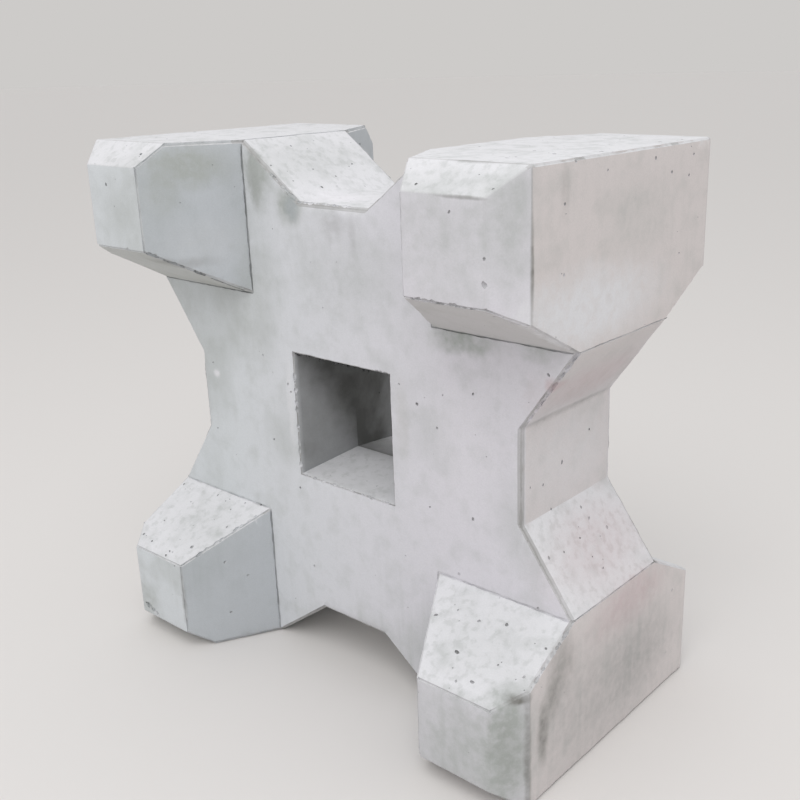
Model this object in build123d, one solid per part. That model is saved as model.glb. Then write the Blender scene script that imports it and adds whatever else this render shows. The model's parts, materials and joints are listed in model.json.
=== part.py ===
from build123d import *
import os
from math import atan2, degrees

# Concrete armour unit, cast in one piece: a square web with a notch in each side and an opening
# through its middle, and a tapered leg at each corner of both faces. It stands on its lower legs,
# with the opening along Y, +Z up, and the origin under its middle, on the floor. Millimetres.

# Driving dimensions
side = 1000  # width and height of the square
web_thickness = 270
overall_depth = 600  # from the front tips to the back tips
notch_depth = 100
notch_floor = 165  # width of the notch's flat floor
notch_mouth = 440  # width of the notch at the side of the square, and the space between the legs' roots
tip_side = 150  # side of the square flat that ends a leg
bevel_inset = 40  # how far the outer faces of a leg step in at its tip
bevel_run = 50  # length of that bevel along the leg
opening_rim = 240  # side of the square opening at the web's faces
opening_throat = 200  # side of the opening at mid-thickness, where its two tapers meet
arris_radius = 8  # rounding of every outward edge

# Places that follow from them, as distances from the middle of the block
outer = side / 2
web_face = web_thickness / 2
tip_face = overall_depth / 2
shoulder = tip_face - bevel_run
root_inner = notch_mouth / 2
tip_outer = outer - bevel_inset
tip_inner = tip_outer - tip_side


def web():
    """The square plate with a flat-floored notch in each side."""
    notch = make_face(
        Polyline(
            (-notch_mouth / 2, outer),
            (-notch_floor / 2, outer - notch_depth),
            (notch_floor / 2, outer - notch_depth),
            (notch_mouth / 2, outer),
            close=True,
        )
    )
    outline = Rectangle(side, side) - PolarLocations(0, 4) * notch
    return extrude(Plane.XZ * outline, web_face, both=True)


def corner():
    """The upper right corner with its front and back leg. The same profile, seen from above and seen
    from the side, is cut through itself, so inner faces slope and outer bevels meet in a mitre."""
    front = [(root_inner, web_face), (tip_inner, tip_face), (tip_outer, tip_face), (outer, shoulder)]
    back = [(across, -along) for across, along in reversed(front)]
    profile = make_face(Polyline(*front, *back, close=True))
    from_above = extrude(profile, outer)
    from_the_side = extrude(Plane.ZY * profile, -outer)
    return from_above & from_the_side


def opening():
    """The opening's space: two square tapers that meet at the narrow throat."""
    taper = degrees(atan2((opening_rim - opening_throat) / 2, web_face))
    rim = Plane.XZ.offset(web_face) * Rectangle(opening_rim, opening_rim)
    half = extrude(rim, -web_face, taper=taper)
    return half + mirror(half, about=Plane.XZ)


def rounded(sharp):
    """The sharp block with every outward edge rounded: its faces go in, and a rolling ball brings
    them back out. The inward corners, where legs and notches meet the web, stay sharp."""
    shrunk = offset(sharp, -arris_radius, kind=Kind.INTERSECTION)
    return offset(shrunk, arris_radius, kind=Kind.ARC)


block = web() + [Rot(0, 90 * quarter, 0) * corner() for quarter in range(4)]
block = Pos(0, 0, outer) * rounded(block - opening())

os.makedirs("parts", exist_ok=True)
export_step(block, "parts/armour_unit.step")
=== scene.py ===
"""The looks of a concrete armour unit: one casting with worn arrises, chips and air holes, built
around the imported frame, and the stage that it stands on. It is laid out as an add-on and run as a
script. Sizes are metres. The block is cast around the origin, and then set on the floor."""

import json
import math
import random
from functools import partial
from itertools import product

import bmesh
import bpy
from bpy.props import FloatProperty, FloatVectorProperty, IntProperty, PointerProperty
from mathutils import Matrix, Quaternion, Vector
from mathutils.bvhtree import BVHTree

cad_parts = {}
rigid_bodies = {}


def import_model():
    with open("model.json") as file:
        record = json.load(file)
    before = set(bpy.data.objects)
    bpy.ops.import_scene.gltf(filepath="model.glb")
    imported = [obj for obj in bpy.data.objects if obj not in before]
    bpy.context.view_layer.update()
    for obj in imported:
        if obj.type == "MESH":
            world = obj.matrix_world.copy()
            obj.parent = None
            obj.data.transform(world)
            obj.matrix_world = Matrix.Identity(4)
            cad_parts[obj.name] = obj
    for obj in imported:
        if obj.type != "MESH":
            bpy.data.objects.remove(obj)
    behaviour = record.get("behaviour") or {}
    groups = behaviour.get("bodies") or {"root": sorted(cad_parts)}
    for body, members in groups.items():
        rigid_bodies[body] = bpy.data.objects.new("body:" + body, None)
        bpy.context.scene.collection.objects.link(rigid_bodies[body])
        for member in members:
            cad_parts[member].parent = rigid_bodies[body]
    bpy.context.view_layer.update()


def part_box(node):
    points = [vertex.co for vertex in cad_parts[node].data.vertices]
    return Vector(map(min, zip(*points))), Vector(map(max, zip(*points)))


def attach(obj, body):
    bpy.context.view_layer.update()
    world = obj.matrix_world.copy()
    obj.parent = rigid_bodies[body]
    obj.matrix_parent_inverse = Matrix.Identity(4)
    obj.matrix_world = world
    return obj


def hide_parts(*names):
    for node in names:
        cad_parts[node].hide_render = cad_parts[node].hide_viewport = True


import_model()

bl_info = {
    "name": "Concrete armour unit",
    "version": (1, 0, 0),
    "blender": (4, 5, 0),
    "location": "View3D > Sidebar > Armour unit",
    "description": "Models a cast concrete armour unit with worn arrises, and its stage",
    "category": "Object",
}

NODE = "armour_unit"
block_low, block_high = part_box(NODE)
millimetre = 0.001
hair = 0.0001  # how near two places count as one
image_side = 800  # pixels of the reference view, both ways


def from_hex(text):
    """A colour written as sRGB hex, as the linear RGBA that the shaders take."""
    shares = [int(text[i : i + 2], 16) / 255 for i in (0, 2, 4)]
    linear = [s / 12.92 if s <= 0.04045 else ((s + 0.055) / 1.055) ** 2.4 for s in shares]
    return (*linear, 1.0)


def length(name, description, default):
    """A length that the user can change."""
    return FloatProperty(name=name, description=description, default=default, min=0.0, unit="LENGTH")


def angle(name, description, default):
    """An angle that the user can change, with its default in degrees."""
    return FloatProperty(name=name, description=description, default=math.radians(default), subtype="ANGLE")


def colour(name, description, default):
    """A colour that the user can change, with its default as sRGB hex."""
    return FloatVectorProperty(
        name=name, description=description, default=from_hex(default), size=4, subtype="COLOR", min=0, max=1
    )


class ArmourUnitSizes(bpy.types.PropertyGroup):
    """Sizes of the cast block."""

    side: length("Side", "Width and height of the square", block_high.x - block_low.x)
    depth: length("Depth", "From the front tips to the back tips", block_high.y - block_low.y)
    web: length("Web", "Thickness of the web", 0.270)
    notch_depth: length("Notch depth", "Depth of the notch in each side", 0.100)
    notch_floor: length("Notch floor", "Width of the notch's flat floor", 0.165)
    notch_mouth: length("Notch mouth", "Width of the notch at the side of the square", 0.440)
    tip_side: length("Tip", "Side of the square flat that ends a leg", 0.150)
    bevel_inset: length("Bevel inset", "How far a leg's outer faces step in at its tip", 0.040)
    bevel_run: length("Bevel run", "Length of that bevel along the leg", 0.050)
    opening_rim: length("Opening rim", "Side of the opening at the web's faces", 0.240)
    opening_throat: length("Opening throat", "Side of the opening at mid-thickness", 0.200)
    notch_arris: length("Notch arris", "Radius of the notches' edges on the web's faces", 0.009)
    opening_arris: length("Opening arris", "Radius of the opening's edges", 0.003)
    arris: length("Arris", "Radius of every other outward edge", 0.005)
    cell: length("Cell", "Spacing of the cuts that divide the faces", 0.020)
    arris_cell: length("Arris cell", "Spacing of the cuts across the rounded edges", 0.005)


class ArmourUnitWear(bpy.types.PropertyGroup):
    """Wear and casting faults."""

    waviness: length("Waviness", "How far the cast faces wander", 0.0010)
    arris_wear: length("Arris wear", "Deepest rubbing of an outward edge", 0.0035)
    joint: length("Mould joint", "Width of the joint along the legs' roots", 0.0032)
    chip_spacing: length("Chip spacing", "Usual distance between chips along an arris", 0.150)
    air_holes: IntProperty(
        name="Air holes", description="Air holes over the whole block", default=330, min=0
    )
    seed: IntProperty(name="Seed", description="Changes where the chips and air holes fall", default=7)


class ArmourUnitColours(bpy.types.PropertyGroup):
    """Colours of the concrete, some of which paint light and shade into it."""

    # Cool paste and warm paste are the paste under a painted cast of light: cool shade at the left, warm
    # light at the right.
    cool_paste_in_shade: colour("Cool paste", "Bluish cement paste of the cast faces", "CDD1D4")
    warm_paste_in_light: colour("Warm paste", "Lilac grey paste towards the right of the block", "D2D0D6")
    # Side paste is painted warm light on the faces that look out to either side, most of all on the right.
    side: colour("Side paste", "Warm grey paste of the right side", "D0CAC9")
    # Pale skin is partly laitance and partly painted light on the faces that look up.
    pale: colour("Pale skin", "Laitance on the faces that look up", "D9D9DC")
    bloom: colour("Bloom", "Nearly white lime bloom", "EAE8ED")
    damp: colour("Damp", "Greenish grey of the mottled patches", "A7ABA8")
    # Sheltered is painted shade, on the faces between the legs and in the corner under the top notch.
    recess_shade: colour("Sheltered", "Blue grey of the faces between the legs", "9EA4A9")
    # Under is painted shade, in a yellowish grey, on the faces that look down; beside the opening it is a
    # stain of dirt.
    under: colour("Under", "Yellowish dirt of the faces that look down", "A6A498")
    # Exposed is sand in chips and worn arrises, and also painted shade along the arrises.
    exposed: colour("Exposed", "Sand and paste under the skin, in chips and worn arrises", "9C9B9A")
    # Hollow is dust in the mould joints, and dust with painted shade in the air holes, chips and the
    # opening.
    hollow_shade_and_dust: colour("Hollow", "Dust in the air holes, the mould joints and the opening", "555654")
    rusty: colour("Rusty", "Pinkish grey of faint iron stains", "C2B0B2")
    # Grime is dirt; in the stains along edges, in the fold of the right notch and under the upper left leg
    # it is partly painted shade.
    grime: colour("Grime", "Dark dirt", "73726D")


class ArmourUnitView(bpy.types.PropertyGroup):
    """The reference view."""

    place: FloatVectorProperty(
        name="Place",
        description="Place of the camera",
        default=(1.279, -1.346, 1.132),
        subtype="TRANSLATION",
    )
    yaw: angle("Yaw", "Turn to the right of straight ahead", -40.18)
    pitch: angle("Pitch", "How far the camera looks down", 18.45)
    roll: angle("Roll", "Turn clockwise about the line of sight", 1.25)
    lens: FloatProperty(name="Lens", description="Focal length in millimetres", default=46.33)
    sensor: FloatProperty(name="Sensor", description="Width of the sensor in millimetres", default=36.0)
    shift: FloatProperty(
        name="Shift", description="Sideways shift, as a share of the sensor", default=-0.0625
    )


class ArmourUnitStage(bpy.types.PropertyGroup):
    """The floor and the light."""

    floor: colour("Floor", "Plain pale floor", "DCD9D7")
    backdrop: colour("Backdrop", "What the camera sees beyond the floor", "CDCBC9")
    floor_radius: length("Floor radius", "Radius of the floor", 60.0)
    sky: FloatProperty(name="Sky", description="Strength of the even light from all round", default=0.86)
    lamp_power: FloatProperty(name="Lamp", description="Power of the soft lamp in watts", default=75.0)
    lamp_side: length("Lamp side", "Side of the soft lamp", 3.0)


# Marks of the reference view, at image columns and rows. Widths are millimetres.
SEEN_AIR_HOLES = {
    "upper right tip": ((484, 285, 9), (484, 259, 5), (449, 212, 5), (416, 184, 5), (493, 189, 4)),
    "upper right side": (
        (576, 161, 6), (608, 170, 4), (656, 158, 6), (672, 172, 6), (689, 175, 5), (694, 154, 5),
        (679, 253, 4), (564, 275, 5), (565, 204, 5), (566, 214, 3),
    ),
    "web": (
        (399, 384, 4), (417, 404, 6), (437, 428, 5), (473, 519, 6), (473, 394, 5), (377, 486, 4),
        (367, 481, 3), (218, 428, 4), (263, 355, 4), (288, 384, 5), (291, 392, 5), (430, 507, 4),
    ),
    "right notch": (
        (562, 462, 7), (543, 485, 5), (589, 518, 6), (607, 527, 6), (581, 507, 5), (551, 509, 5),
        (549, 558, 6), (580, 538, 4), (564, 552, 4),
    ),
    "lower right leg": (
        (459, 574, 6), (457, 652, 8), (472, 682, 7), (479, 621, 6), (436, 615, 6), (458, 610, 4),
        (524, 677, 5), (498, 665, 4), (538, 608, 5), (672, 590, 5),
    ),
    "lower left leg": (
        (192, 547, 8), (218, 495, 5), (227, 527, 5), (144, 534, 6), (152, 541, 5), (225, 562, 6),
        (261, 505, 5), (231, 612, 5), (248, 575, 5), (184, 484, 5),
    ),
    "top notch": ((360, 144, 6), (352, 164, 5), (291, 146, 4), (337, 186, 3)),
}
# How dark a chip is stands for dust and for painted shade in the broken edge.
RAGGED_ARRISES = {  # from, to, how many chips, their radius in millimetres, and how dark they are
    "under the upper left leg": ((147, 254), (240, 289), 30, 6, 0.35),
    "darker part of that edge": ((190, 270), (240, 289), 18, 8, 0.65),
    "front of the right notch": ((577, 356), (551, 391), 22, 6, 0.2),
    "below it": ((549, 394), (527, 423), 14, 5, 0.15),
    "under the upper right tip": ((406, 298), (476, 310), 30, 4.5, 0.4),
    "chip on it": ((448, 305), (457, 307), 4, 6, 0.4),
    "along the upper right bevel": ((480, 312), (528, 328), 10, 3, 0.3),
    "left of the top notch's floor": ((270, 173), (296, 201), 14, 5, 0.2),
    "top notch's floor": ((298, 202), (363, 208), 20, 4, 0.15),
    "top of the opening": ((296, 353), (387, 374), 34, 5, 0.35),
    "left of the opening": ((294.5, 375), (297, 410), 12, 4.5, 0.4),
    "further down it": ((298, 425), (301, 470), 10, 3.5, 0.2),
    "foot of the opening": ((304, 474.5), (391, 504), 24, 3.5, 0.3),
    "corner of the lower left tip": ((148, 604), (158, 614), 6, 7, 0.2),
    "top of the lower left leg": ((196, 556), (262, 512), 20, 4, 0.15),
    "top of the lower right leg": ((569, 629), (530, 690), 20, 4, 0.3),
}
STAINS = {  # image place, radii across, deep and high in millimetres, colour, and strength
    # Painted shade in the corner under the top notch.
    "dark corner under the top notch": ((288, 205), (36, 12, 36), "damp", 1.0),
    "heart of that corner": ((291, 208), (20, 12, 24), "recess_shade", 0.6),
    "beside the upper left joint": ((254, 172), (18, 12, 60), "grime", 0.75),
    # Partly painted shade under the upper left leg's broken edge, partly dirt.
    "under the upper left leg": ((172, 264), (80, 90, 12), "grime", 0.35),
    "left slope of the top notch": ((300, 160), (70, 150, 50), "damp", 0.3),
    # Painted light on the floor of the top notch.
    "floor of the top notch": ((340, 198), (70, 60, 14), "bloom", 0.6),
    "smudges under the top notch": ((335, 228), (34, 15, 26), "grime", 0.22),
    "streak under the top notch": ((352, 236), (9, 15, 34), "grime", 0.2),
    "left of the top notch": ((257, 165), (40, 15, 80), "damp", 0.95),
    "left of the web": ((245, 290), (90, 20, 140), "damp", 0.35),
    "middle of the web": ((345, 285), (120, 20, 90), "damp", 0.22),
    "right of the web": ((465, 450), (80, 15, 120), "bloom", 0.14),
    "beside the opening": ((402, 420), (18, 10, 75), "under", 0.18),
    "upper right tip": ((445, 240), (90, 20, 110), "damp", 0.35),
    "bevel of the upper right leg": ((508, 220), (40, 40, 110), "damp", 0.55),
    "top of the upper right bevels": ((460, 178), (90, 30, 24), "damp", 0.2),
    # The dark lines along these edges are partly painted shade of mould fins, partly dirt.
    "edge of the upper right tip": ((462, 197.5), (44, 5, 3), "grime", 0.55),
    "edge over the upper right bevels": ((475, 161), (48, 5, 4), "grime", 0.4),
    "edge beside the upper right bevel": ((532.5, 280), (4, 4, 90), "grime", 0.8),
    "foot of the upper right side": ((585, 312), (20, 220, 65), "pale", 1.0),
    "top of the lower right leg": ((490, 640), (110, 90, 60), "damp", 0.2),
    "top of the lower left leg": ((205, 525), (110, 90, 60), "damp", 0.2),
    "under the upper right leg": ((466, 340), (75, 15, 26), "damp", 0.9),
    "end of that stain": ((540, 352), (50, 15, 20), "damp", 0.5),
    "broken edge of the right notch": ((555, 385), (12, 30, 16), "rusty", 0.8),
    "slope of the right notch": ((590, 380), (60, 150, 50), "rusty", 0.4),
    "floor of the right notch": ((570, 450), (20, 160, 90), "pale", 0.4),
    # Partly painted shade in the crease between the notch's slope and floor, partly dirt.
    "fold of the right notch": ((566, 408), (10, 160, 9), "grime", 0.35),
    "low slope of the right notch": ((600, 545), (70, 150, 90), "rusty", 0.42),
    "top of the lower right side": ((630, 600), (20, 130, 50), "rusty", 0.6),
    "smear on the lower right side": ((562, 665), (12, 40, 60), "grime", 0.4),
    "middle of that smear": ((553, 698), (12, 22, 45), "grime", 0.5),
    "foot of that smear": ((543, 733), (12, 16, 60), "grime", 0.75),
    "lower right side": ((600, 690), (20, 230, 120), "exposed", 0.42),
    "far part of the lower right side": ((640, 650), (20, 120, 90), "exposed", 0.36),
    "bevel of the lower right leg": ((507, 745), (40, 50, 150), "damp", 1.0),
    "foot of that bevel": ((507, 755), (30, 40, 80), "grime", 0.2),
    # Partly painted shade along this edge, partly dirt.
    "edge beside that bevel": ((528, 765), (9, 7, 150), "grime", 0.6),
    "corner beside that bevel": ((519, 700), (24, 20, 9), "grime", 0.85),
    "lower right tip": ((465, 750), (100, 20, 110), "damp", 0.6),
    "streak on the upper right side": ((566, 190), (9, 12, 40), "grime", 0.16),
    "cloud on the upper right side": ((640, 215), (20, 100, 65), "damp", 0.22),
    "upper left leg by its tip": ((160, 188), (35, 45, 60), "damp", 0.55),
    "top of the upper left leg's inner face": ((190, 166), (45, 110, 38), "damp", 1.0),
    "foot of the upper left leg's inner face": ((205, 245), (60, 90, 50), "pale", 0.16),
    "foot of the lower left tip": ((147, 597), (50, 25, 45), "damp", 0.6),
    # Partly painted shade along this edge, partly dirt.
    "edge of the lower left tip": ((184.5, 602), (6, 6, 60), "grime", 0.4),
    "light spot": ((217, 373), (11, 8, 9), "bloom", 0.7),
    "light band by the opening": ((291, 405), (10, 8, 105), "pale", 0.45),
}


class Block:
    """The places that the modelling works with, as distances from the middle of the block."""

    def __init__(self, sizes):
        self.outer = sizes.side / 2
        self.face = sizes.web / 2
        self.tip = sizes.depth / 2
        self.shoulder = self.tip - sizes.bevel_run
        self.root = sizes.notch_mouth / 2
        self.notch_floor = sizes.notch_floor / 2
        self.notch_level = self.outer - sizes.notch_depth
        self.tip_outer = self.outer - sizes.bevel_inset
        self.tip_inner = self.tip_outer - sizes.tip_side
        self.slope = (self.tip_inner - self.root) / (self.tip - self.face)
        self.shoulder_inner = self.inner(self.shoulder)
        self.rim = sizes.opening_rim / 2
        self.throat = sizes.opening_throat / 2

    def inner(self, along):
        """Where a leg's inner face is, at that distance along the leg."""
        return self.root + self.slope * (along - self.face)


def take(*pieces):
    """Selects these objects alone, and makes the first the active one."""
    bpy.ops.object.select_all(action="DESELECT")
    for piece in pieces:
        piece.select_set(True)
    bpy.context.view_layer.objects.active = pieces[0]


def edit(piece):
    """Starts edit mode on one object, with nothing in it selected."""
    take(piece)
    bpy.ops.object.mode_set(mode="EDIT")
    bpy.ops.mesh.select_all(action="DESELECT")


def pick(piece, kind, test):
    """In edit mode, selects just the vertices, edges or faces that pass a test of them and their middle."""
    bpy.ops.mesh.select_mode(type=kind)
    bpy.ops.mesh.select_all(action="DESELECT")
    shape = bmesh.from_edit_mesh(piece.data)
    for part in {"VERT": shape.verts, "EDGE": shape.edges, "FACE": shape.faces}[kind]:
        corners = [part] if kind == "VERT" else part.verts
        middle = sum((corner.co for corner in corners), Vector()) / len(corners)
        if test(part, middle):
            part.select_set(True)
    shape.select_flush_mode()
    bmesh.update_edit_mesh(piece.data)


def cut_all(place, normal):
    """In edit mode, cuts every face along a plane."""
    bpy.ops.mesh.select_all(action="SELECT")
    bpy.ops.mesh.bisect(plane_co=place, plane_no=normal)


def settle(piece):
    """In edit mode, puts the vertices, edges and faces in a set order, by how far they are from an odd
    place. Extruding leaves them in another order each run, and what is cut and rounded after it would
    then come out a little different."""
    cursor = bpy.context.scene.cursor
    cursor.location = (3.1, -2.3, 1.7)
    bpy.ops.mesh.select_all(action="SELECT")
    bpy.ops.mesh.sort_elements(type="CURSOR_DISTANCE", elements={"VERT", "EDGE", "FACE"})
    cursor.location = (0, 0, 0)
    bpy.ops.object.mode_set(mode="OBJECT")
    piece.data.update(calc_edges=True)
    bpy.ops.object.mode_set(mode="EDIT")


def apply_modifier(piece, kind, **settings):
    """Adds a modifier and applies it."""
    take(piece)
    modifier = piece.modifiers.new(kind.title(), kind)
    for name, value in settings.items():
        setattr(modifier, name, value)
    bpy.ops.object.modifier_apply(modifier=modifier.name)


def quarter_web(place):
    """The upper right quarter of the web's front half, with its share of two notches and the opening.
    The sides on the planes that it will be mirrored in are left open."""
    bpy.ops.object.select_all(action="DESELECT")
    bpy.ops.mesh.primitive_cube_add(
        size=1,
        location=(place.outer / 2, -place.face / 2, place.outer / 2),
        scale=(place.outer, place.face, place.outer),
    )
    piece = bpy.context.object
    piece.name = "casting"
    bpy.ops.object.transform_apply(location=True, rotation=True, scale=True)
    edit(piece)
    pick(piece, "FACE", lambda face, middle: min(abs(middle.x), abs(middle.y), abs(middle.z)) < hair)
    bpy.ops.mesh.delete(type="FACE")
    for across in (place.notch_floor, place.root):
        cut_all((across, 0, 0), (1, 0, 0))
        cut_all((0, 0, across), (0, 0, 1))
    notch_depth = place.outer - place.notch_level
    pick(piece, "VERT", lambda v, at: at.z > place.outer - hair and at.x < place.notch_floor + hair)
    bpy.ops.transform.translate(value=(0, 0, -notch_depth))
    pick(piece, "VERT", lambda v, at: at.x > place.outer - hair and at.z < place.notch_floor + hair)
    bpy.ops.transform.translate(value=(-notch_depth, 0, 0))
    return piece


def open_web(piece, place):
    """Cuts the opening's quarter out of the web, and draws its walls in to the throat."""

    def around_opening(face, middle):
        return max(middle.x, middle.z) < place.root and middle.y < hair - place.face

    def on_rim(edge, middle):
        nearest = min(max(corner.co.x, corner.co.z) for corner in edge.verts)
        in_front = edge.is_boundary and middle.y < hair - place.face
        return in_front and max(middle.x, middle.z) < place.rim + hair and nearest > place.rim - hair

    for normal in ((1, 0, 0), (0, 0, 1)):
        pick(piece, "FACE", around_opening)
        bpy.ops.mesh.bisect(plane_co=Vector(normal) * place.rim, plane_no=normal)
    pick(piece, "FACE", lambda face, at: max(at.x, at.z) < place.rim and at.y < hair - place.face)
    bpy.ops.mesh.delete(type="FACE")
    pick(piece, "EDGE", on_rim)
    bpy.ops.mesh.extrude_edges_move(TRANSFORM_OT_translate={"value": (0, place.face, 0)})
    narrowing = place.throat / place.rim
    bpy.ops.transform.resize(value=(narrowing, 1, narrowing), center_override=(0, 0, 0))


def draw_leg(piece, place):
    """Draws the leg out of the web's corner: to its shoulder, and on to its tip."""
    pick(piece, "FACE", lambda face, at: min(at.x, at.z) > place.root and at.y < hair - place.face)
    steps = (
        (place.face, place.root, place.shoulder, place.shoulder_inner, 0),
        (place.shoulder, place.shoulder_inner, place.tip, place.tip_inner, place.outer - place.tip_outer),
    )
    for start, inner, end, end_inner, inset in steps:
        bpy.ops.mesh.extrude_region_move(TRANSFORM_OT_translate={"value": (0, start - end, 0)})
        share = (place.outer - inset - end_inner) / (place.outer - inner)
        bpy.ops.transform.resize(value=(share, 1, share), center_override=(place.outer, -end, place.outer))
        bpy.ops.transform.translate(value=(-inset, 0, -inset))


def round_arrises(piece, place, sizes):
    """Rounds every outward edge, the notches' front edges more than the rest, and marks the new
    faces with the second material slot. Returns the ends of each edge that turns enough to chip."""

    def radius(edge):
        if any(abs(corner.co.y + place.face) > hair for corner in edge.verts):
            return sizes.arris
        on_rim = all(max(corner.co.x, corner.co.z) < place.rim + hair for corner in edge.verts)
        return sizes.opening_arris if on_rim else sizes.notch_arris

    bpy.ops.mesh.select_all(action="SELECT")
    bpy.ops.mesh.dissolve_limited(angle_limit=math.radians(0.5))
    settle(piece)
    shape = bmesh.from_edit_mesh(piece.data)
    turns = {edge: edge.calc_face_angle_signed() for edge in shape.edges if edge.is_manifold}
    outward = [edge for edge, turn in turns.items() if turn > math.radians(10)]
    sharp = [edge for edge in outward if turns[edge] > math.radians(60)]
    arrises = [[corner.co.copy() for corner in edge.verts] for edge in sharp]
    widest = max(sizes.arris, sizes.notch_arris)
    for turn, wanted in sorted({(round(turns[edge], 3), radius(edge)) for edge in outward}):
        pick(
            piece,
            "EDGE",
            lambda edge, at: edge.is_manifold and radius(edge) == wanted
            and abs(edge.calc_face_angle_signed() - turn) < 0.001,
        )
        bpy.ops.transform.edge_bevelweight(value=math.tan(turn / 2) * wanted / widest)
    bpy.ops.object.mode_set(mode="OBJECT")
    apply_modifier(
        piece,
        "BEVEL",
        limit_method="WEIGHT",
        offset_type="OFFSET",
        width=widest,
        segments=3,
        profile=0.5,
        use_clamp_overlap=False,
        material=1,
    )
    edit(piece)
    return arrises


def divide(piece, place, sizes):
    """Cuts the faces into cells along all three directions, so that they can wander, and the
    rounded edges into finer ones, so that they can wear."""
    reaches = (((1, 0, 0), place.outer), ((0, -1, 0), place.tip), ((0, 0, 1), place.outer))
    for direction, reach in reaches:
        for step in range(1, math.ceil(reach / sizes.cell)):
            cut_all(Vector(direction) * (step * sizes.cell), direction)
    for direction, reach in reaches:
        for step in range(1, math.ceil(reach / sizes.arris_cell)):
            bpy.ops.mesh.select_all(action="DESELECT")
            bpy.ops.object.material_slot_select()
            bpy.ops.mesh.bisect(plane_co=Vector(direction) * (step * sizes.arris_cell), plane_no=direction)


def mark_arrises(piece, place, sizes):
    """Gives the rounded edges a vertex group, stronger along their middle, for the modifiers, and
    an attribute for the material, which darkens them with sand and painted shade. The edges of the
    legs' bevels turn too little to be worn down: a dark line of painted shade and dirt lies along the
    ones at the shoulders, and little of it along the ones at the tips."""

    def on_bevel(face, at):
        inner = place.inner(abs(at.y)) + sizes.arris
        return face.material_index and abs(at.y) > nearest and min(abs(at.x), abs(at.z)) > inner

    piece.vertex_groups.new(name="arrises")
    bpy.ops.geometry.attribute_add(name="arris", domain="FACE", data_type="FLOAT")
    edit(piece)
    piece.data.attributes.active = piece.data.attributes["arris"]
    bpy.ops.mesh.select_mode(type="FACE")
    bpy.ops.object.material_slot_select()
    bpy.ops.mesh.select_mode(type="VERT")
    settings = bpy.context.scene.tool_settings
    for weight, bareness_and_shade in ((0.3, 0.7), (1.0, 1.0)):
        settings.vertex_group_weight = weight
        bpy.ops.object.vertex_group_assign()
        bpy.ops.mesh.attribute_set(value_float=bareness_and_shade)
        bpy.ops.mesh.select_less()
    for nearest, bareness_and_shade in ((place.shoulder - sizes.arris, 1.3), (place.shoulder + sizes.arris, 0.3)):
        pick(piece, "FACE", on_bevel)
        bpy.ops.object.vertex_group_remove_from()
        bpy.ops.mesh.attribute_set(value_float=bareness_and_shade)
    bpy.ops.object.mode_set(mode="OBJECT")


def cast_block(sizes):
    """The whole block, closed and rounded, from one eighth that is mirrored in three planes. Returns
    it with the ends of all its sharp outward edges."""
    place = Block(sizes)
    piece = quarter_web(place)
    for slot_name in ("faces", "arrises"):
        piece.data.materials.append(bpy.data.materials.new(slot_name))
    piece.active_material_index = 1
    open_web(piece, place)
    settle(piece)
    draw_leg(piece, place)
    settle(piece)
    arrises = round_arrises(piece, place, sizes)
    divide(piece, place, sizes)
    bpy.ops.object.mode_set(mode="OBJECT")
    apply_modifier(piece, "MIRROR", use_axis=(True, True, True), merge_threshold=hair / 2)
    edit(piece)
    bpy.ops.mesh.select_all(action="SELECT")
    bpy.ops.mesh.remove_doubles(threshold=4 * hair)
    bpy.ops.mesh.normals_make_consistent(inside=False)
    bpy.ops.object.mode_set(mode="OBJECT")
    mark_arrises(piece, place, sizes)
    mirrored = [
        [end * Vector(signs) for end in arris] for arris in arrises for signs in product((1, -1), repeat=3)
    ]
    return piece, mirrored


def clouds(name, size, contrast):
    """A cloud pattern for the Displace modifier, with blotches of about that size."""
    texture = bpy.data.textures.new(name, "CLOUDS")
    texture.noise_scale = size
    texture.contrast = contrast
    texture.use_clamp = True
    return texture


def weather(piece, wear):
    """Lets the cast faces wander and rubs the arrises down, always inwards from the mould's shape."""
    layers = (
        ("mould waves", 0.260, 1.0, wear.waviness, ""),
        ("mould dents", 0.045, 1.0, wear.waviness * 0.4, ""),
        ("rubbing", 0.040, 1.6, wear.arris_wear, "arrises"),
        ("nicks", 0.012, 2.2, wear.arris_wear * 0.5, "arrises"),
    )
    for name, size, contrast, deepest, group in layers:
        apply_modifier(
            piece,
            "DISPLACE",
            texture=clouds(name, size, contrast),
            texture_coords="LOCAL",
            mid_level=0.0,
            strength=-deepest,
            vertex_group=group,
        )


def cut_out(piece, cutter):
    """Cuts a closed shape out of the block, and deletes the shape."""
    apply_modifier(piece, "BOOLEAN", operation="DIFFERENCE", solver="MANIFOLD", object=cutter)
    bpy.data.objects.remove(cutter)


def soil(cutter, share):
    """Gives a cutting shape the darkness that its faces leave in the block, from the middle of a face:
    dust, and in chips and air holes painted shade as well."""
    marks = cutter.data.attributes.new("soil", "FLOAT", "FACE")
    marks.data.foreach_set("value", [share(face.center) for face in cutter.data.polygons])


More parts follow.
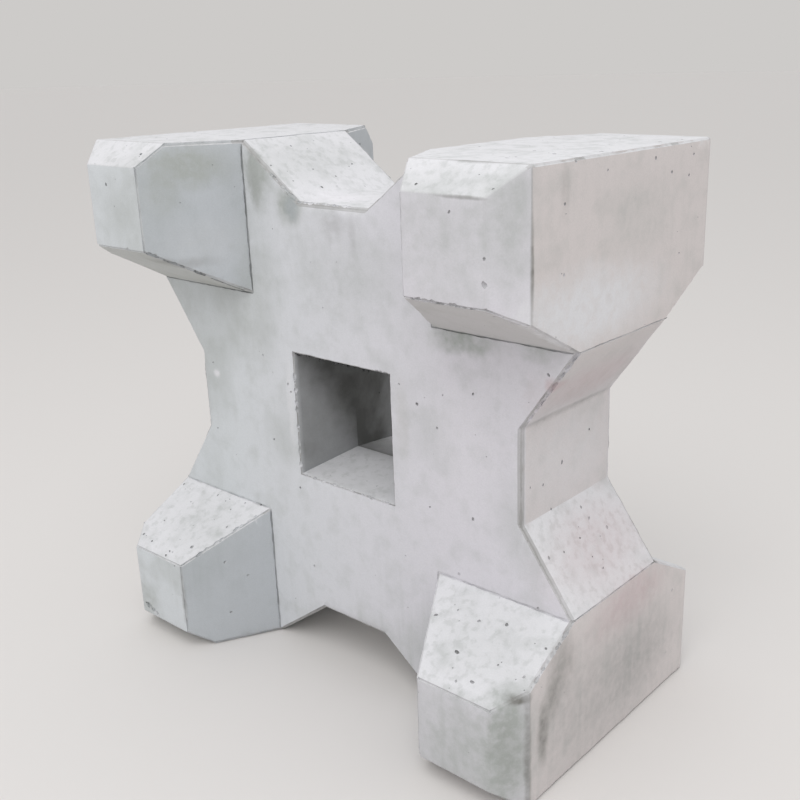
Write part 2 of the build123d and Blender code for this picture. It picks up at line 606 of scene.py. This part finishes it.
def mould_joints(piece, sizes, wear, dice):
    """The thin joint where each leg's mould met the web's, cut along the roots of all eight legs."""
    place = Block(sizes)
    run = place.outer - place.root
    middle = place.root + run / 2
    lengths = 24  # each joint is cut into these, so that it can wander
    for upright in (True, False):
        bpy.ops.object.select_all(action="DESELECT")
        bpy.ops.mesh.primitive_cube_add(
            size=1,
            location=(place.root, -place.face, middle) if upright else (middle, -place.face, place.root),
            scale=(wear.joint, wear.joint, run) if upright else (run, wear.joint, wear.joint),
        )
        joint = bpy.context.object
        bpy.ops.object.transform_apply(location=True, rotation=True, scale=True)
        edit(joint)
        along = (0, 0, 1) if upright else (1, 0, 0)
        for step in range(-1, lengths):
            cut_all(Vector(along) * (place.root + run * step / lengths), along)
        bpy.ops.object.mode_set(mode="OBJECT")
        apply_modifier(joint, "MIRROR", use_axis=(True, True, True), use_mirror_merge=False)
        edit(joint)
        bpy.ops.mesh.select_all(action="SELECT")
        bpy.ops.mesh.normals_make_consistent(inside=False)
        bpy.ops.transform.vertex_random(offset=0.9 * millimetre, uniform=1.0, seed=dice.randrange(1000))
        bpy.ops.object.mode_set(mode="OBJECT")
        soil(joint, lambda middle: 0.62 if middle.z > 0 else 0.4 if upright else 0.12)
        cut_out(piece, joint)


class Bite:
    """One lump to be cut out of the block: a chip or an air hole."""

    def __init__(self, place, turn, radii, share):
        self.place, self.turn, self.radii, self.share = place, turn, radii, share
        self.reach = max(radii)


def lump(seed, detail):
    """An uneven ball of radius 1, the shape that chips and air holes are cut with. Large ones, of
    detail 3, are rough on two scales."""
    bpy.ops.object.select_all(action="DESELECT")
    bpy.ops.mesh.primitive_ico_sphere_add(subdivisions=min(detail, 2), radius=1)
    piece = bpy.context.object
    edit(piece)
    bpy.ops.mesh.select_all(action="SELECT")
    bpy.ops.transform.vertex_random(offset=0.08 * detail, uniform=0.5, normal=0.5, seed=seed)
    if detail > 2:
        bpy.ops.mesh.subdivide(number_cuts=1, smoothness=0.5)
        bpy.ops.transform.vertex_random(offset=0.08, uniform=0.5, normal=0.5, seed=seed)
    bpy.ops.object.mode_set(mode="OBJECT")
    return piece


def in_passes(bites):
    """Sorts the bites so that no two in one pass overlap."""
    passes = []
    for bite in bites:
        for group in passes:
            if all((bite.place - other.place).length > 1.2 * (bite.reach + other.reach) for other in group):
                group.append(bite)
                break
        else:
            passes.append([bite])
    return passes


def bite_out(piece, bites):
    """Cuts the bites out of the block, the smaller ones with plainer lumps."""
    lumps = {detail: [lump(seed, detail) for seed in range(1, 7)] for detail in (1, 2, 3)}
    for group in in_passes(bites):
        cutters = []
        for number, bite in enumerate(group):
            detail = 1 + (bite.reach > 2 * millimetre) + (bite.reach > 8 * millimetre)
            cutter = lumps[detail][number % len(lumps[detail])].copy()
            cutter.data = cutter.data.copy()
            cutter.matrix_world = Matrix.LocRotScale(bite.place, bite.turn, Vector(bite.radii))
            soil(cutter, lambda middle: bite.share)
            bpy.context.scene.collection.objects.link(cutter)
            cutters.append(cutter)
        take(*cutters)
        if len(cutters) > 1:
            bpy.ops.object.join()
        cut_out(piece, cutters[0])
    for shape in [*lumps[1], *lumps[2], *lumps[3]]:
        bpy.data.objects.remove(shape)


def drop_crumbs(piece):
    """Deletes the crumbs that the cuts set free: all that isn't joined to the block's largest face."""
    edit(piece)
    bpy.ops.mesh.select_mode(type="FACE")
    shape = bmesh.from_edit_mesh(piece.data)
    max(shape.faces, key=lambda face: face.calc_area()).select_set(True)
    bmesh.update_edit_mesh(piece.data)
    bpy.ops.mesh.select_linked()
    bpy.ops.mesh.select_all(action="INVERT")
    bpy.ops.mesh.delete(type="VERT")
    bpy.ops.object.mode_set(mode="OBJECT")


def chips(arrises, wear, dice):
    """Chips all along the arrises, small ones mostly, each longer along its arris than across."""
    bites = []
    for start, end in arrises:
        run = end - start
        for _ in range(int(run.length / wear.chip_spacing + dice.random())):
            place = start + run * dice.uniform(0.02, 0.98)
            radius = (3.5 + 4.5 * dice.random() ** 3) * millimetre
            turn = run.to_track_quat("X", "Z") @ Quaternion((1, 0, 0), dice.uniform(0, math.tau))
            radii = (radius * dice.uniform(1.0, 2.2), radius, radius)
            # The last number is the chip's darkness: dust and painted shade in it.
            bites.append(Bite(place, turn, radii, dice.uniform(0.05, 0.25)))
    return bites


def camera_turn(view):
    """The turn of the reference camera."""
    level = math.cos(view.pitch)
    sight = Vector((math.sin(view.yaw) * level, math.cos(view.yaw) * level, -math.sin(view.pitch)))
    return sight.to_track_quat("-Z", "Y") @ Quaternion((0, 0, 1), -view.roll)


def seen_place(faces, view, column, row):
    """The place on the block, and its normal, that the reference view shows at an image column and row."""
    focal = view.lens / view.sensor * image_side
    across = (column - image_side / 2 + view.shift * image_side) / focal
    up = (image_side / 2 - row) / focal
    sight = camera_turn(view) @ Vector((across, up, -1)).normalized()
    place, normal, _, _ = faces.ray_cast(Vector(view.place), sight)
    if place is None:
        raise RuntimeError(f"the block isn't at image place {column}, {row}")
    return place, normal


def face_tree(piece):
    """A tree of the block's faces, to find places on them."""
    shape = bmesh.new()
    shape.from_mesh(piece.data)
    tree = BVHTree.FromBMesh(shape)
    shape.free()
    return tree


def ragged_runs(faces, view, dice):
    """Chips that follow each other along the arrises that the reference view shows broken."""
    bites = []
    for start, end, count, radius, darkness in RAGGED_ARRISES.values():
        run = seen_place(faces, view, *end)[0] - seen_place(faces, view, *start)[0]
        along = run.to_track_quat("X", "Z")
        for _ in range(count):
            share = dice.random()
            place, normal = seen_place(faces, view, *(a + (b - a) * share for a, b in zip(start, end)))
            size = radius * (0.35 + 0.85 * dice.random() ** 2) * millimetre
            place += normal * size * dice.uniform(0.0, 0.4)
            turn = along @ Quaternion((1, 0, 0), dice.uniform(0, math.tau))
            radii = (size * dice.uniform(1.0, 2.0), size, size * 0.8)
            bites.append(Bite(place, turn, radii, darkness * dice.uniform(0.5, 1.4)))
    return bites


def air_hole(place, normal, width, dice):
    """A shallow round hole: the mark of an air bubble that was caught against the mould."""
    turn = normal.to_track_quat("Z", "Y") @ Quaternion((0, 0, 1), dice.uniform(0, math.tau))
    radius = width / 2
    stretch = dice.uniform(0.9, 1.3)
    radii = (radius * stretch, radius / stretch, radius * dice.uniform(0.6, 0.95))
    # The last number is the hole's darkness: dust and painted shade inside it.
    return Bite(place, turn, radii, dice.uniform(0.35, 0.7))


def scattered_holes(faces, place, wear):
    """Air holes over the whole block: most on the faces that look up, few under it. Each is where a
    line between two places on a ball round the block first meets it, and has dice of its own, so
    nothing that happens to one hole changes the rest."""
    middle = Vector((0, 0, place.outer))
    holes = []
    thrown = 0
    while len(holes) < wear.air_holes:
        thrown += 1
        dice = random.Random(10000 * wear.seed + thrown)
        if thrown > 1000 * wear.air_holes:
            raise RuntimeError("the block has too few faces for its air holes")
        start, end = (
            Vector([dice.gauss(0, 1) for _ in range(3)]).normalized() * 2 * place.outer for _ in range(2)
        )
        met, normal, _, _ = faces.ray_cast(middle + start, (end - start).normalized())
        if met is None:
            continue
        keep = 1.0 if normal.z > 0.3 else 0.1 if normal.z < -0.3 else 0.2
        if dice.random() < keep:
            holes.append(air_hole(met, normal, (2.4 + 4.5 * dice.random() ** 4) * millimetre, dice))
    return holes


def seen_holes(faces, view, dice):
    """The air holes that the reference view shows."""
    for group in SEEN_AIR_HOLES.values():
        for column, row, width in group:
            place, normal = seen_place(faces, view, column, row)
            yield air_hole(place, normal, width * millimetre, dice)


def located_stains(faces, scene):
    """The stains, each with its place on the block, its radii, its colour and its strength."""
    for (column, row), radii, tint, strength in STAINS.values():
        middle, _ = seen_place(faces, scene.armour_unit_view, column, row)
        yield middle, Vector(radii) * millimetre, tuple(getattr(scene.armour_unit_colours, tint)), strength


def node(tree, kind, inputs=None, **settings):
    """Adds a shader node with its settings. An input is a value, or a node or output to link."""
    made = tree.nodes.new("ShaderNode" + kind)
    for name, value in settings.items():
        setattr(made, name, value)
    for name, value in (inputs or {}).items():
        matching = [s for s in made.inputs if s.enabled and name in (s.name, s.identifier)]
        socket = matching[0]
        if isinstance(value, bpy.types.Node):
            value = next(output for output in value.outputs if output.enabled)
        if isinstance(value, bpy.types.NodeSocket):
            tree.links.new(value, socket)
        else:
            socket.default_value = value
    return made


def cast_concrete(colours, block, stains):
    """Grey concrete, cast in a smooth steel mould: a thin skin of cement paste, clouded by damp and
    paler where it looks up, partly laitance and partly painted light, with sand showing where arrises
    are worn. Painted light and shade lie in it too: a cast that is cool at the left and warm at the
    right, warmer sides, and painted shade on the faces that look down and between the legs, in the
    opening, in chips and air holes and along the arrises. It is quite matt. Its colours lie over each
    other in layers, each with the share of it that shows."""
    material = bpy.data.materials.new("cast concrete")
    material.use_nodes = True
    tree = material.node_tree
    tree.nodes.clear()
    add = partial(node, tree)
    place = add("TexCoord").outputs["Object"]
    x, y, z = add("SeparateXYZ", {"Vector": place}).outputs
    normal = add("NewGeometry").outputs["Normal"]
    facing_x, facing_y, facing_z = add("SeparateXYZ", {"Vector": normal}).outputs
    off_middle = add("Math", {"Value": y}, operation="ABSOLUTE")

    # The patterns, from the largest to the smallest, each scaled by its real size in millimetres
    cloud, mottle, wander, fleck, speckle, grain = (
        add("TexNoise", {"Vector": place, "Scale": 1 / (size * millimetre), "Detail": detail})
        for size, detail in ((230, 4.0), (45, 5.0), (28, 4.0), (14, 4.0), (7, 3.0), (2.5, 2.0))
    )
    run_scale = [1 / (size * millimetre) for size in (20, 20, 230)]
    drawn_out = add("Mapping", {"Vector": place, "Scale": run_scale})
    runs = add("TexNoise", {"Vector": drawn_out, "Scale": 1.0, "Detail": 4.0})

    # Paste with a painted cast of light, cool shade at the left and warm light to the right, with clouds of
    # damp
    cast_of_light = add("MapRange", {"Value": x, "From Min": -0.35, "From Max": 0.25})
    ends = {"A": tuple(colours.cool_paste_in_shade), "B": tuple(colours.warm_paste_in_light)}
    skin = add("Mix", {"Factor": cast_of_light, **ends}, data_type="RGBA")
    damp = add("MapRange", {"Value": cloud, "From Min": 0.50, "From Max": 0.78, "To Max": 0.6})
    layers = [(damp, colours.damp)]

    # The sides are warmer: painted warm light
    outward = add("Math", {"Value": facing_x, "Value_001": x}, operation="MULTIPLY")
    warm_light_on_sides = add("MapRange", {"Value": outward, "From Min": 0.26, "From Max": 0.44})
    forward = add("Math", {"Value": facing_y}, operation="ABSOLUTE")
    aslant = add("MapRange", {"Value": forward, "From Min": 0.4, "From Max": 0.1})
    least = add("MapRange", {"Value": x, "From Min": -0.1, "From Max": 0.1, "To Min": 0.5})
    for share in (aslant, least):
        warm_light_on_sides = add("Math", {"Value": warm_light_on_sides, "Value_001": share}, operation="MULTIPLY")
    layers.append((warm_light_on_sides, colours.side))

    # Paler where it looks up: partly laitance, partly painted light from above
    looks_up = add("MapRange", {"Value": facing_z, "From Min": 0.15, "From Max": 0.6})
    layers.append((looks_up, colours.pale))

    # Mottling on two scales, stronger on the faces that look up
    for pattern, lowest, highest, plain, upward in (
        (mottle, 0.50, 0.75, 0.30, 0.38),
        (fleck, 0.52, 0.66, 0.07, 0.27),
    ):
        most = add("MapRange", {"Value": looks_up, "To Min": plain, "To Max": upward})
        blotch = add("MapRange", {"Value": pattern, "From Min": lowest, "From Max": highest})
        blotch = add("Math", {"Value": blotch, "Value_001": most}, operation="MULTIPLY")
        layers.append((blotch, colours.damp))

    # Painted shade on the faces that look down, in a yellowish grey
    looks_down = add("MapRange", {"Value": facing_z, "From Min": -0.5, "From Max": -0.85, "To Max": 0.4})
    layers.append((looks_down, colours.under))

    # Rain runs down the upright faces, more of them near the ground
    steepness = add("Math", {"Value": facing_z}, operation="ABSOLUTE")
    upright = add("MapRange", {"Value": steepness, "From Min": 0.4, "From Max": 0.1})
    heights = {"From Min": 0.32, "From Max": 0.02}
    low = add("MapRange", {"Value": z, **heights, "To Min": 0.12, "To Max": 0.6})
    patchy = add("MapRange", {"Value": cloud, "From Min": 0.40, "From Max": 0.60})
    wet = add("MapRange", {"Value": runs, "From Min": 0.48, "From Max": 0.78})
    for share in (patchy, low, upright):
        wet = add("Math", {"Value": wet, "Value_001": share}, operation="MULTIPLY")
    layers.append((wet, colours.damp))

    # Painted shade on the faces between the legs: those that look back at the middle from either side
    inner = add("MapRange", {"Value": outward, "From Min": -0.13, "From Max": -0.18, "To Max": 0.5})
    layers.append((inner, colours.recess_shade))

    # Painted shade in the opening, with some dirt: darker to the throat, above, and on the left wall. There
    # and on the floor it is darkest just behind the throat
    across = add("Math", {"Value": x}, operation="ABSOLUTE")
    above = add("Math", {"Value": z, "Value_001": block.outer}, operation="SUBTRACT")
    upwards = add("Math", {"Value": above}, operation="ABSOLUTE")
    reach = add("Math", {"Value": across, "Value_001": upwards}, operation="MAXIMUM")
    rim = {"From Min": block.rim + 0.003, "From Max": block.rim - 0.001}
    within = add("MapRange", {"Value": reach, **rim})
    deep = add("Math", {"Value": above, "Value_001": 0.6}, operation="MULTIPLY")
    deep = add("Math", {"Value": deep, "Value_001": off_middle}, operation="SUBTRACT")
    depths = {"From Min": -0.8 * block.face, "From Max": 0.15 * block.face}
    shade_and_dirt = add(
        "MapRange",
        {"Value": deep, **depths, "To Min": 0.19, "To Max": 0.6},
        interpolation_type="SMOOTHSTEP",
    )
    left_wall = add("MapRange", {"Value": facing_x, "From Min": 0.3, "From Max": 0.8})
    floor = add("MapRange", {"Value": facing_z, "From Min": 0.3, "From Max": 0.8})
    behind = add("MapRange", {"Value": y, "From Max": 0.002})
    fading = add("MapRange", {"Value": y, "From Max": block.face, "To Min": 0.6, "To Max": 0.1})
    either = add("Math", {"Value": left_wall, "Value_001": floor}, operation="ADD", use_clamp=True)
    either = add("Math", {"Value": either, "Value_001": behind}, operation="MULTIPLY")
    for wall, share in ((either, fading), (left_wall, 0.46)):
        shade_and_dirt = add("Math", {"Value": wall, "Value_001": share, "Value_002": shade_and_dirt}, operation="MULTIPLY_ADD")
    spread = {"From Min": 0.3, "From Max": 0.7}
    uneven = add("MapRange", {"Value": mottle, **spread, "To Min": 0.88, "To Max": 1.05})
    shade_and_dirt = add("Math", {"Value": shade_and_dirt, "Value_001": 1.0}, operation="MINIMUM")
    for share in (uneven, within):
        shade_and_dirt = add("Math", {"Value": shade_and_dirt, "Value_001": share}, operation="MULTIPLY", use_clamp=True)
    layers.append((shade_and_dirt, colours.hollow_shade_and_dust))

    # Stains at their places, with wandering outlines and broken up inside. How far an outline
    # wanders, in millimetres, goes by the stain's least radius
    middling = {"Vector": wander.outputs["Color"], "Vector_001": (0.5, 0.5, 0.5)}
    wander = add("VectorMath", middling, operation="SUBTRACT")
    strayed = []
    for thickest, farthest in ((5.5, 2), (13, 10), (math.inf, 45)):
        off = add("VectorMath", {"Vector": wander, "Scale": farthest * millimetre}, operation="SCALE")
        off = add("VectorMath", {"Vector": place, "Vector_001": off}, operation="ADD")
        strayed.append((thickest * millimetre, off))
    flecks = {"From Min": 0.35, "From Max": 0.62}
    broken = add("MapRange", {"Value": fleck, **flecks, "To Min": 0.7, "To Max": 1.1})
    for middle, radii, tint, strength in stains:
        start = next(off for thickest, off in strayed if min(radii) < thickest)
        ball = {"Vector": start, "Location": middle, "Scale": radii}
        inside = add("Mapping", ball, vector_type="TEXTURE")
        inside = add("VectorMath", {"Vector": inside}, operation="LENGTH")
        share = add(
            "MapRange",
            {"Value": inside, "From Min": 1.35, "From Max": 0.25, "To Max": strength},
            interpolation_type="SMOOTHSTEP",
        )
        share = add("Math", {"Value": share, "Value_001": broken}, operation="MULTIPLY", use_clamp=True)
        layers.append((share, tint))

    # Worn arrises and chips show sand, most of all the notches' arrises, with painted shade along the
    # arrises. Hollows hold dust and painted shade
    arris = add("Attribute", attribute_name="arris").outputs["Fac"]
    web_face = {"Value_001": block.face, "Value_002": 0.012}
    on_face = add("Math", {"Value": off_middle, **web_face}, operation="COMPARE")
    bare_and_shaded = add("MapRange", {"Value": on_face, "To Min": 0.35, "To Max": 1.0})
    rubbed_and_shaded = add("MapRange", {"Value": cloud, "From Min": 0.3, "From Max": 0.6, "To Min": 0.4})
    for share in (bare_and_shaded, arris):
        rubbed_and_shaded = add("Math", {"Value": rubbed_and_shaded, "Value_001": share}, operation="MULTIPLY")
    dust_and_shade = add("Attribute", attribute_name="soil").outputs["Fac"]
    filled = add("MapRange", {"Value": mottle, "From Min": 0.35, "From Max": 0.6, "To Min": 0.5})
    dust_and_shade = add("Math", {"Value": dust_and_shade, "Value_001": filled}, operation="MULTIPLY")
    layers += [(rubbed_and_shaded, colours.exposed), (dust_and_shade, colours.hollow_shade_and_dust)]

    for share, tint in layers:
        skin = add("Mix", {"Factor": share, "A": skin, "B": tuple(tint)}, data_type="RGBA")

    # The sand's grain, as fine light and dark
    shade = add("MapRange", {"Value": grain, **spread, "To Min": 0.965, "To Max": 1.025})
    skin = add("VectorMath", {"Vector": skin, "Scale": shade}, operation="SCALE")
    rough = {"Value": speckle, "Value_001": 0.6, "Value_002": grain}
    relief = add("Math", rough, operation="MULTIPLY_ADD")
    bump = add("Bump", {"Strength": 0.4, "Distance": 0.5 * millimetre, "Height": relief})
    looks = {"Base Color": skin, "Roughness": 0.88, "IOR": 1.5, "Normal": bump}
    add("OutputMaterial", {"Surface": add("BsdfPrincipled", looks)})
    return material


def pale_floor(stage):
    """The stage's floor: plain and matt."""
    material = bpy.data.materials.new("pale floor")
    material.use_nodes = True
    shader = material.node_tree.nodes["Principled BSDF"]
    shader.inputs["Base Color"].default_value = stage.floor
    shader.inputs["Roughness"].default_value = 0.9
    return material


def light_world(stage):
    """An even sky. The camera and reflections see the backdrop's colour in its place."""
    world = bpy.context.scene.world or bpy.data.worlds.new("studio")
    bpy.context.scene.world = world
    world.use_nodes = True
    tree = world.node_tree
    tree.nodes.clear()
    rays = node(tree, "LightPath")
    seen = rays.outputs["Is Camera Ray"]
    for kind in ("Is Glossy Ray", "Is Transmission Ray"):
        seen = node(tree, "Math", {"Value": seen, "Value_001": rays.outputs[kind]}, operation="MAXIMUM")
    sky = node(tree, "Background", {"Color": (1.0, 1.0, 1.0, 1.0), "Strength": stage.sky})
    backdrop = node(tree, "Background", {"Color": tuple(stage.backdrop), "Strength": 1.0})
    both = node(tree, "MixShader", {"Fac": seen, "Shader": sky, "Shader_001": backdrop})
    node(tree, "OutputWorld", {"Surface": both})


class ArmourUnitCasting(bpy.types.Operator):
    """Cast the block, wear it, and cut its mould joints, chips and air holes"""

    bl_idname = "armour_unit.casting"
    bl_label = "Cast the block"
    bl_options = {"REGISTER", "UNDO"}

    def execute(self, context):
        scene = context.scene
        sizes, wear, view = scene.armour_unit_sizes, scene.armour_unit_wear, scene.armour_unit_view
        dice = random.Random(wear.seed)
        piece, arrises = cast_block(sizes)
        weather(piece, wear)
        mould_joints(piece, sizes, wear, dice)
        bite_out(piece, chips(arrises, wear, dice))
        take(piece)
        bpy.ops.transform.translate(value=(0, 0, sizes.side / 2))
        bpy.ops.object.transform_apply(location=True, rotation=True, scale=True)
        faces = face_tree(piece)
        bite_out(piece, ragged_runs(faces, view, dice))
        faces = face_tree(piece)
        holes = scattered_holes(faces, Block(sizes), wear)
        bite_out(piece, [*seen_holes(faces, view, dice), *holes])
        drop_crumbs(piece)
        take(piece)
        bpy.ops.object.shade_smooth_by_angle(angle=math.radians(35))
        piece.data.materials.clear()
        stains = located_stains(faces, scene)
        piece.data.materials.append(cast_concrete(scene.armour_unit_colours, Block(sizes), stains))
        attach(piece, "root")
        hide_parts(NODE)
        return {"FINISHED"}


class ArmourUnitSetStage(bpy.types.Operator):
    """Lay the floor, and set the lamp, the sky and the camera"""

    bl_idname = "armour_unit.stage"
    bl_label = "Set the stage"
    bl_options = {"REGISTER", "UNDO"}

    def execute(self, context):
        stage, view = context.scene.armour_unit_stage, context.scene.armour_unit_view
        bpy.ops.object.select_all(action="DESELECT")
        bpy.ops.mesh.primitive_circle_add(vertices=96, radius=stage.floor_radius, fill_type="NGON")
        floor = context.object
        floor.name = "floor"
        floor.data.materials.append(pale_floor(stage))
        lamp_place = Vector((1.4, -2.4, 4.2))
        turn = lamp_place.to_track_quat("Z", "Y").to_euler()
        bpy.ops.object.light_add(type="AREA", location=lamp_place, rotation=turn)
        lamp = context.object.data
        lamp.size = stage.lamp_side
        lamp.energy = stage.lamp_power
        light_world(stage)
        bpy.ops.object.camera_add(location=view.place, rotation=camera_turn(view).to_euler())
        camera = context.object
        camera.data.lens = view.lens
        camera.data.sensor_width = view.sensor
        camera.data.shift_x = view.shift
        context.scene.camera = camera
        context.scene.view_settings.view_transform = "Standard"
        return {"FINISHED"}


class ArmourUnitPanel(bpy.types.Panel):
    """The steps, and the sizes and colours that they work with"""

    bl_label = "Armour unit"
    bl_idname = "VIEW3D_PT_armour_unit"
    bl_space_type = "VIEW_3D"
    bl_region_type = "UI"
    bl_category = "Armour unit"

    def draw(self, context):
        for group in GROUPS:
            box = self.layout.box()
            settings = getattr(context.scene, group)
            for name in settings.bl_rna.properties.keys():
                if name not in ("rna_type", "name"):
                    box.prop(settings, name)
        for operator in (ArmourUnitCasting, ArmourUnitSetStage):
            self.layout.operator(operator.bl_idname)


GROUPS = {
    "armour_unit_sizes": ArmourUnitSizes,
    "armour_unit_wear": ArmourUnitWear,
    "armour_unit_colours": ArmourUnitColours,
    "armour_unit_view": ArmourUnitView,
    "armour_unit_stage": ArmourUnitStage,
}
CLASSES = (*GROUPS.values(), ArmourUnitCasting, ArmourUnitSetStage, ArmourUnitPanel)


def register():
    for kind in CLASSES:
        bpy.utils.register_class(kind)
    for name, kind in GROUPS.items():
        setattr(bpy.types.Scene, name, PointerProperty(type=kind))


def unregister():
    for name in GROUPS:
        delattr(bpy.types.Scene, name)
    for kind in reversed(CLASSES):
        bpy.utils.unregister_class(kind)


def main():
    register()
    bpy.ops.armour_unit.casting()
    bpy.ops.armour_unit.stage()


if __name__ == "__main__":
    main()
